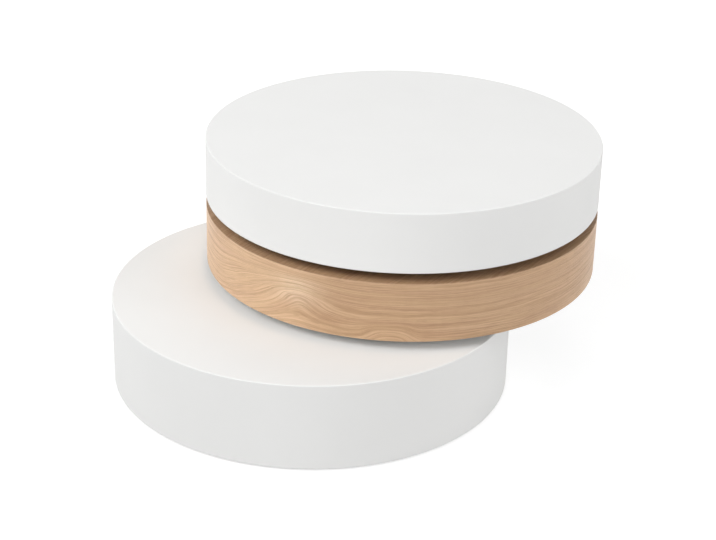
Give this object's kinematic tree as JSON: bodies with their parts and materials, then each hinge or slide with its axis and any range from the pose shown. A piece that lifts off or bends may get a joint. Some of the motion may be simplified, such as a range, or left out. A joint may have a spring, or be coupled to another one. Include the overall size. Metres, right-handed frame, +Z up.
{
  "type": "swivel coffee table",
  "caption": "Round swivel coffee table of white lacquered and oak-veneered drums that fan out on an off-centre upright axis.",
  "frame": {"origin": "on the floor, on the common swivel axis, at the glide under the base drum's bearing block", "axes": "+Z up along the swivel axis; -Y from the axis towards the base drum's centre; +X towards the centres of the middle and top drums as they stand swung out at rest"},
  "size_m": [0.841, 0.841, 0.406],
  "materials": {
    "white_lacquer": "satin white lacquer over MDF",
    "oak_veneer": "matt clear-lacquered oak veneer",
    "mdf": "sealed raw MDF",
    "plywood": "raw birch plywood",
    "zinc_steel": "bright zinc-plated steel",
    "ball_steel": "polished bearing steel",
    "bronze": "turned bearing bronze",
    "nylon": "natural nylon",
    "glide_plastic": "black moulded plastic"
  },
  "bodies": {
    "base": {"base_rim": "white_lacquer", "base_deck": "white_lacquer", "base_bottom_panel": "mdf", "base_bearing_block": "mdf", "base_spine_rib": "plywood", "base_cross_rib": "plywood", "base_side_ribs": "plywood", "base_glue_blocks": "plywood", "base_panel_screws": "zinc_steel", "base_glides": "glide_plastic", "lower_swivel_bottom_plate": "zinc_steel", "lower_swivel_bottom_screws": "zinc_steel", "lower_swivel_pivot_bolt": "zinc_steel", "lower_swivel_nut_washer": "zinc_steel", "lower_swivel_pivot_nut": "zinc_steel"},
    "lower_cage": {"lower_swivel_ball_cage": "nylon", "lower_swivel_balls": "ball_steel"},
    "middle": {"middle_rim": "mdf", "middle_deck": "mdf", "middle_bottom_panel": "mdf", "middle_bearing_block": "mdf", "middle_spine_rib": "plywood", "middle_cross_rib": "plywood", "middle_side_ribs": "plywood", "middle_glue_blocks": "plywood", "middle_panel_screws": "zinc_steel", "middle_rim_veneer": "oak_veneer", "middle_deck_veneer": "oak_veneer", "lower_swivel_top_plate": "zinc_steel", "lower_swivel_top_screws": "zinc_steel", "lower_swivel_pivot_bush": "bronze", "lower_swivel_thrust_washer": "nylon", "upper_swivel_bottom_plate": "zinc_steel", "upper_swivel_bottom_screws": "zinc_steel", "upper_swivel_pivot_bolt": "zinc_steel", "upper_swivel_nut_washer": "zinc_steel", "upper_swivel_pivot_nut": "zinc_steel"},
    "upper_cage": {"upper_swivel_ball_cage": "nylon", "upper_swivel_balls": "ball_steel"},
    "top": {"top_rim": "white_lacquer", "top_deck": "white_lacquer", "top_bottom_panel": "mdf", "top_bearing_block": "mdf", "top_spine_rib": "plywood", "top_cross_rib": "plywood", "top_side_ribs": "plywood", "top_glue_blocks": "plywood", "top_panel_screws": "zinc_steel", "upper_swivel_top_plate": "zinc_steel", "upper_swivel_top_screws": "zinc_steel", "upper_swivel_pivot_bush": "bronze", "upper_swivel_thrust_washer": "nylon"}
  },
  "joints": [
    {"name": "lower_swivel", "type": "hinge", "parent": "base", "child": "middle", "pos_m": [0, 0, 0.168], "axis": [0, 0, 1], "continuous": true},
    {"name": "lower_cage_roll", "type": "hinge", "parent": "base", "child": "lower_cage", "pos_m": [0, 0, 0.168], "axis": [0, 0, 1], "continuous": true},
    {"name": "upper_swivel", "type": "hinge", "parent": "middle", "child": "top", "pos_m": [0, 0, 0.291], "axis": [0, 0, 1], "continuous": true},
    {"name": "upper_cage_roll", "type": "hinge", "parent": "middle", "child": "upper_cage", "pos_m": [0, 0, 0.291], "axis": [0, 0, 1], "continuous": true}
  ],
  "couplings": [
    {"joint": "lower_cage_roll", "follows": "lower_swivel", "ratio": 0.5},
    {"joint": "upper_cage_roll", "follows": "upper_swivel", "ratio": 0.5}
  ]
}
